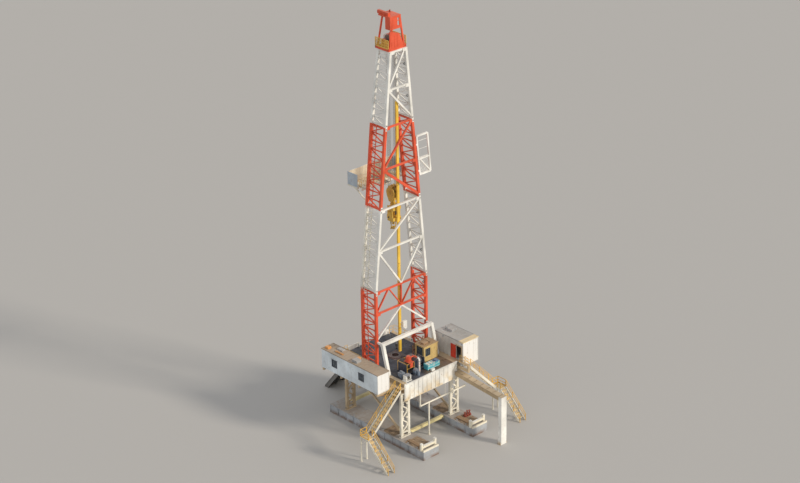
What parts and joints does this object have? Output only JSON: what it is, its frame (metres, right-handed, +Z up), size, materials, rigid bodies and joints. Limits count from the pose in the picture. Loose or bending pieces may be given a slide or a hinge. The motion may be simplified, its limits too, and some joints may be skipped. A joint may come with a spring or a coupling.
{
  "type": "land oil drilling rig, 1:2 scale model",
  "caption": "Land drilling rig with red and white mast, raised drill floor on ladder legs, doghouse, cabin, stairs and a travelling block that slides in the mast.",
  "frame": {"origin": "ground level, at the centre of the bounding box", "axes": "+Z up along the mast; +Y towards the ramp side; +X across the mast towards the right cabin"},
  "size_m": [12.095, 14.8808, 30],
  "materials": {
    "mast_red": "weathered orange-red gloss paint",
    "mast_white": "weathered white paint",
    "cream_white": "dusty cream-white paint",
    "base_grey": "dusty light grey paint with rust",
    "tan_steel": "dusty tan paint",
    "safety_yellow": "yellow paint",
    "track_yellow": "bright yellow paint",
    "ochre_yellow": "ochre-yellow paint with grease",
    "dark_deck": "oil-dark chequer plate",
    "dark_machine": "dark blue-black enamel",
    "dark_red": "oily dark red paint",
    "turquoise": "turquoise paint",
    "worn_steel": "bare worn steel",
    "wire_rope": "greased wire rope",
    "house_blue_grey": "light blue-grey sheet steel",
    "roof_tan": "dusty grey-brown roof sheet",
    "roof_grey": "dusty grey roof sheet",
    "cabin_grey": "grey sheet steel, white rear end",
    "door_red": "red paint",
    "window_glass": "tinted glass"
  },
  "bodies": {
    "root": {"base_box_left": "base_grey", "base_box_right": "base_grey", "base_spreaders": "safety_yellow", "legs_rear": "cream_white", "legs_front": "tan_steel", "leg_braces": "tan_steel", "floor_frame": "tan_steel", "left_porch": "tan_steel", "right_porch": "tan_steel", "rear_panel": "cream_white", "floor_deck": "dark_deck", "rotary_table": "dark_red", "drawworks": "dark_machine", "a_frame": "mast_white", "driller_cabin": "ochre_yellow", "gooseneck_pipe": "mast_red", "floor_locker": "turquoise", "air_winch": "mast_white", "v_door_ramp": "worn_steel", "front_guard": "mast_white", "drain_line": "cream_white", "mast_sides_1": "mast_red", "mast_sides_2": "mast_white", "mast_sides_3": "mast_red", "mast_sides_4": "mast_white", "mast_back_1": "mast_red", "mast_back_2": "mast_white", "mast_back_3": "mast_red", "mast_back_4": "mast_white", "mast_knee_brace": "mast_white", "crown_frame": "mast_red", "crown_sheaves": "worn_steel", "crown_rails": "safety_yellow", "racking_board": "cream_white", "racking_wall": "house_blue_grey", "stabbing_frame": "mast_white", "torque_track": "track_yellow", "mast_ladder": "cream_white", "drill_lines": "wire_rope", "doghouse_shell": "house_blue_grey", "doghouse_roof": "roof_tan", "doghouse_glass": "window_glass", "cabin_shell": "cabin_grey", "cabin_roof": "roof_grey", "stair_left_upper": "cream_white", "stair_left_lower": "cream_white", "stair_left_rails": "safety_yellow", "stair_right_upper": "cream_white", "stair_right_lower": "cream_white", "stair_right_rails": "safety_yellow", "cable_bridge": "tan_steel", "cable_column": "mast_white"},
    "hoist": {"travelling_block": "ochre_yellow", "top_drive": "ochre_yellow"},
    "door": {"cabin_door": "door_red"}
  },
  "joints": [
    {"name": "block_hoist", "type": "slide", "parent": "root", "child": "hoist", "axis": [0, 0, 1], "range_m": [-8.9, 7.6], "deforming": ["drill_lines"]},
    {"name": "cabin_door_hinge", "type": "hinge", "parent": "root", "child": "door", "pos_m": [2.7475, -2.57142, 5.235], "axis": [0, 0, 1], "range_deg": [0, 180]}
  ]
}
